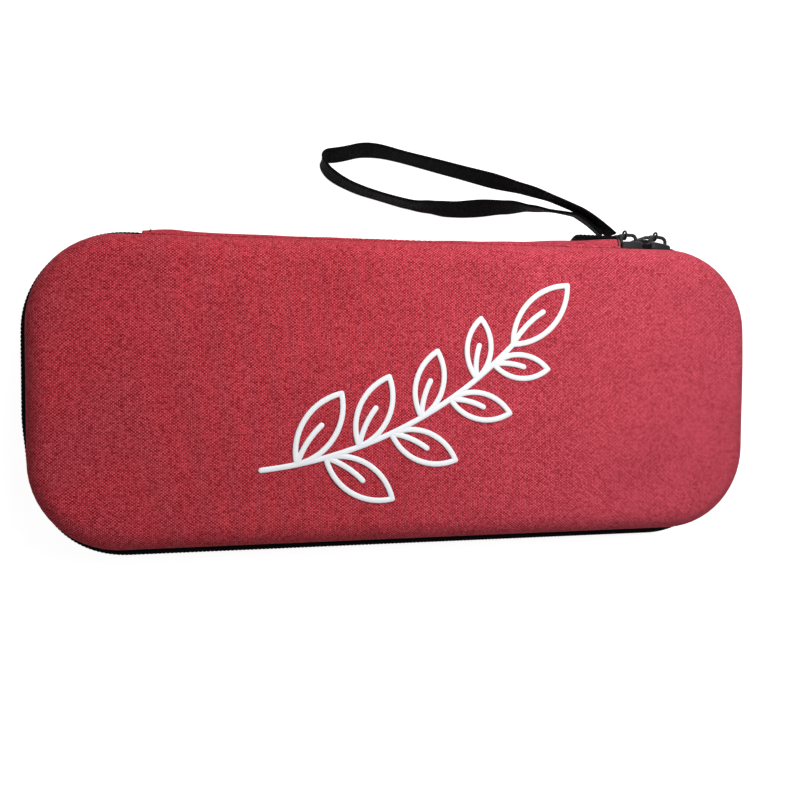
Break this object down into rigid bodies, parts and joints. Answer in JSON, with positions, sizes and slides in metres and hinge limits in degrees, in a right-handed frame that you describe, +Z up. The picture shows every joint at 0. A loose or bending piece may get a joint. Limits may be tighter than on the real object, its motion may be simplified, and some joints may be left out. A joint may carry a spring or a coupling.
{
  "type": "stethoscope hard case",
  "caption": "Long zipped hard case with rounded corners, a cloth hinge, a flat wrist strap and a lined hollow with a net pocket in the lid.",
  "frame": {"origin": "middle of the base's flat underside, on the surface the case lies on", "axes": "+X along the case towards the zipper sliders' end, +Y towards the hinge side, +Z up through the lid"},
  "size_m": [0.3048, 0.1756, 0.0575],
  "materials": {
    "red_linen_cloth": "matte plain weave",
    "red_strip_cloth": "matte plain weave",
    "black_foam": "matte",
    "black_lining": "matte knit",
    "black_tape": "matte herringbone weave",
    "black_coil": "satin",
    "black_binding": "matte ribbed",
    "black_elastic": "matte ribbed",
    "black_thread": "satin",
    "black_webbing": "satin weave",
    "black_net": "matte",
    "black_slider_metal": "satin",
    "black_pull_wire": "satin",
    "black_pull_tab": "matte",
    "white_print": "matte"
  },
  "bodies": {
    "base": {"base_outer_fabric": "red_linen_cloth", "base_foam_shell": "black_foam", "base_lining": "black_lining", "base_rim_binding": "black_binding", "base_zipper_tape": "black_tape", "base_zipper_coil": "black_coil", "hinge_strip": "red_strip_cloth", "hinge_lining": "black_lining", "strap_anchor_tab": "black_webbing", "wrist_strap": "black_webbing", "elastic_band_left": "black_elastic", "elastic_band_right": "black_elastic", "elastic_band_tacks": "black_thread"},
    "lid": {"lid_outer_fabric": "red_linen_cloth", "lid_foam_shell": "black_foam", "lid_lining": "black_lining", "lid_rim_binding": "black_binding", "lid_zipper_tape": "black_tape", "lid_zipper_coil": "black_coil", "lid_zipper_tape_end": "black_tape", "lid_zipper_coil_end": "black_coil", "mesh_pocket_net": "black_net", "mesh_pocket_border": "black_binding", "mesh_pocket_hem": "black_elastic", "lid_print": "white_print"},
    "slider_a": {"slider_a_body": "black_slider_metal"},
    "slider_b": {"slider_b_body": "black_slider_metal"},
    "pull_a": {"pull_a_ring": "black_pull_wire", "pull_a_tab": "black_pull_tab"},
    "pull_b": {"pull_b_ring": "black_pull_wire", "pull_b_tab": "black_pull_tab"}
  },
  "joints": [
    {"name": "lid_hinge", "type": "hinge", "parent": "base", "child": "lid", "pos_m": [0, 0.067, 0.0285], "axis": [-1, 0, 0], "range_deg": [0, 179], "deforming": ["hinge_strip", "hinge_lining", "lid_zipper_tape_end", "lid_zipper_coil_end", "wrist_strap"]},
    {"name": "slider_a_run", "type": "slide", "parent": "base", "child": "slider_a", "axis": [1, 0, 0], "range_m": [0, 0.0035]},
    {"name": "slider_b_corner", "type": "hinge", "parent": "base", "child": "slider_b", "pos_m": [0.113, 0.0255, 0.0285], "axis": [0, 0, -1], "range_deg": [0, 73]},
    {"name": "pull_a_swing", "type": "hinge", "parent": "slider_a", "child": "pull_a", "pos_m": [0.105, 0.0694, 0.0285], "axis": [1, 0, 0], "range_deg": [-12, 170]},
    {"name": "pull_b_swing", "type": "hinge", "parent": "slider_b", "child": "pull_b", "pos_m": [0.11987, 0.06886, 0.0285], "axis": [0.9877, -0.1564, 0], "range_deg": [-12, 170]}
  ]
}
